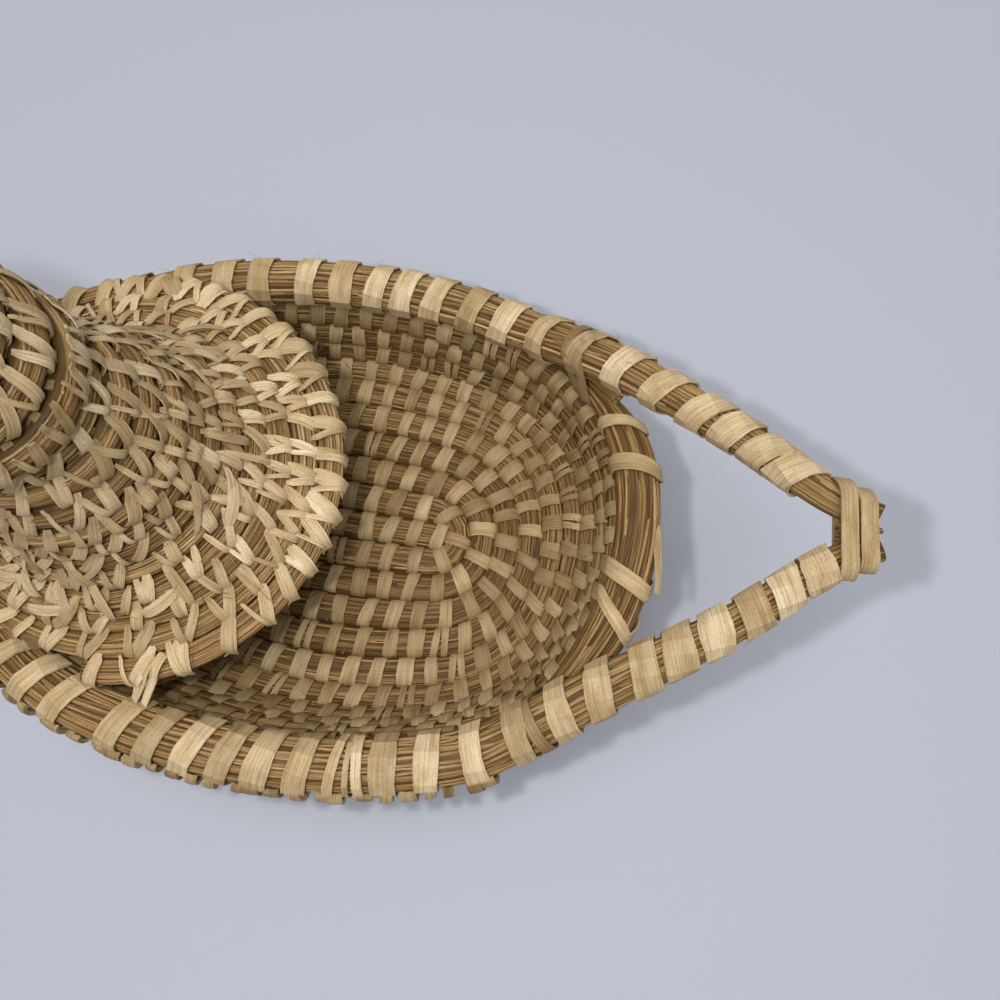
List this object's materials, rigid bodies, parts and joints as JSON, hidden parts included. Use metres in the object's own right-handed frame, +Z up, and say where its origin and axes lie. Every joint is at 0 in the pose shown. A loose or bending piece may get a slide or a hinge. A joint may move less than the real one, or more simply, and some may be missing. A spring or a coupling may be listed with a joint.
{
  "type": "duck-shaped coiled straw basket",
  "caption": "Small lidless oval basket of coiled straw sewn with pale splints, shaped as a duck with a half cover, neck, head, bill and an open looped tail.",
  "frame": {"origin": "the middle of the bounding box in plan, on the surface that the basket stands on", "axes": "+X towards the tail, -X towards the bill, +Y to the duck's left side, +Z up"},
  "size_m": [0.2292, 0.1384, 0.1241],
  "materials": {
    "straw": "dry golden straw",
    "splint": "pale flat palm splint"
  },
  "bodies": {
    "root": {"base_coil": "straw", "wall_coil": "straw", "rim_and_tail_strand": "straw", "tail_wrap_far": "splint", "rim_wrap_far": "splint", "rim_wrap_front": "splint", "rim_wrap_near": "splint", "tail_wrap_near": "splint", "tail_tip_binding": "splint", "back_rim_coil": "straw", "back_rim_wrap": "splint", "cover_coil": "straw", "neck_coil": "straw", "head_coil": "straw", "bill": "straw", "bill_wrap": "splint", "cover_lashing_far": "splint", "cover_lashing_near": "splint", "cover_lashing_front": "splint"}
  },
  "joints": []
}
